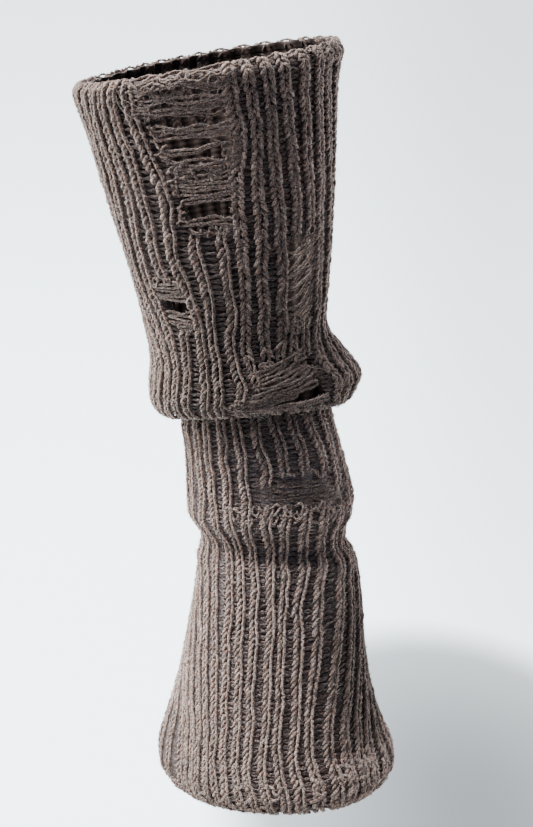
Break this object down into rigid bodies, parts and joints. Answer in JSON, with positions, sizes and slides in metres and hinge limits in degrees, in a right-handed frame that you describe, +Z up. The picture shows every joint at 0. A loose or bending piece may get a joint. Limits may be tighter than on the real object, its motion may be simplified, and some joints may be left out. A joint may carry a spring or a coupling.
{
  "type": "holey footless ribbed sock",
  "caption": "Worn footless sock of ribbed wool: a hollow tube open at both ends, slouched above the ankle and flared at the hem, with rips and ladders; it covers the lower leg.",
  "frame": {"origin": "the middle of the groove at the ankle, where the tube grips and is held up", "axes": "+Z up along the lower leg, -Y to the front (the side of the toes), +X to the right of a viewer in front"},
  "size_m": [0.1331, 0.117, 0.312],
  "materials": {
    "heather_wool": "brown heather wool in 1x1 rib, dull, fuzzy and worn"
  },
  "bodies": {
    "root": {"sock_upper": "heather_wool", "sock_lower": "heather_wool"}
  },
  "joints": []
}
